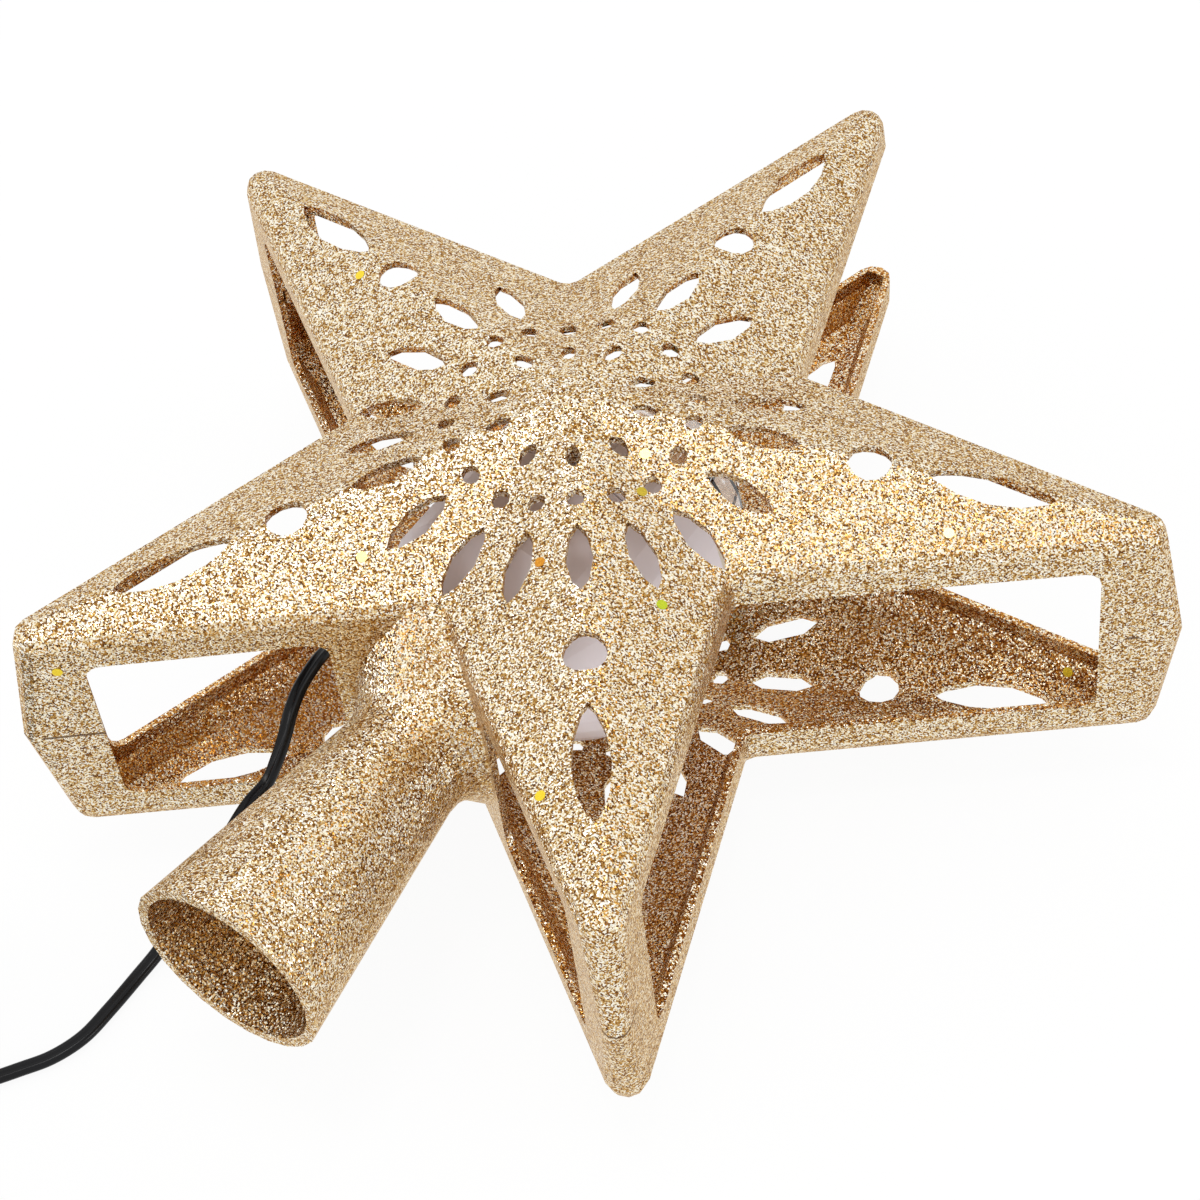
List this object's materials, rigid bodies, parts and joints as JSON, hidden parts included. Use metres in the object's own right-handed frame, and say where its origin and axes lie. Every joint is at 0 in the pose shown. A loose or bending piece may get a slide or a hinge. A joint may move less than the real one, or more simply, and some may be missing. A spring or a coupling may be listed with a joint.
{
  "type": "projector tree topper",
  "caption": "Hollow five-point star tree topper with pierced gold glitter shells, a flared tree socket and a white projector with a turning clear lens dome on a thin plug-in lead",
  "frame": {"origin": "Middle of the base of the box round the star and its socket, on the surface that the star lies on", "axes": "+Z out of the star's front face, +Y towards its top point and away from the socket's mouth, +X to the viewer's right"},
  "size_m": [0.2262, 0.3724, 0.0839],
  "materials": {
    "glitter": "champagne gold glitter coat",
    "white_plastic": "satin moulded",
    "clear_plastic": "clear moulded",
    "steel": "zinc plated",
    "nylon": "natural",
    "circuit_board": "green solder mask",
    "black_plastic": "fine moulded",
    "black_flex": "satin",
    "brass": "bare"
  },
  "bodies": {
    "body": {"front_shell": "glitter", "back_shell": "glitter", "case_base": "white_plastic", "case_cover": "white_plastic", "chassis_plate": "steel", "spindle": "steel", "thrust_washer": "nylon", "retaining_clip": "steel", "motor": "steel", "lamp_board": "circuit_board", "lamp_1": "clear_plastic", "lamp_2": "clear_plastic", "lamp_3": "clear_plastic", "lamp_4": "clear_plastic", "drive_board": "circuit_board", "case_screw_1": "steel", "case_screw_2": "steel", "case_screw_3": "steel", "lead_bush": "black_plastic", "lead": "black_flex", "lead_coil": "black_flex", "coil_tie": "black_plastic", "supply_case": "black_plastic", "supply_lid": "black_plastic", "supply_blade_1": "brass", "supply_blade_2": "brass", "supply_relief": "black_plastic"},
    "dome": {"dome_carrier": "nylon", "lens_dome": "clear_plastic"},
    "pinion": {"motor_shaft": "steel", "motor_pinion": "nylon"}
  },
  "joints": [
    {"name": "dome_spin", "type": "hinge", "parent": "body", "child": "dome", "pos_m": [0, 0, 0.04193], "axis": [0, 1, 0], "continuous": true},
    {"name": "pinion_spin", "type": "hinge", "parent": "body", "child": "pinion", "pos_m": [0.018, 0, 0.04193], "axis": [0, 1, 0], "continuous": true}
  ],
  "couplings": [
    {"joint": "pinion_spin", "follows": "dome_spin", "ratio": -3}
  ]
}
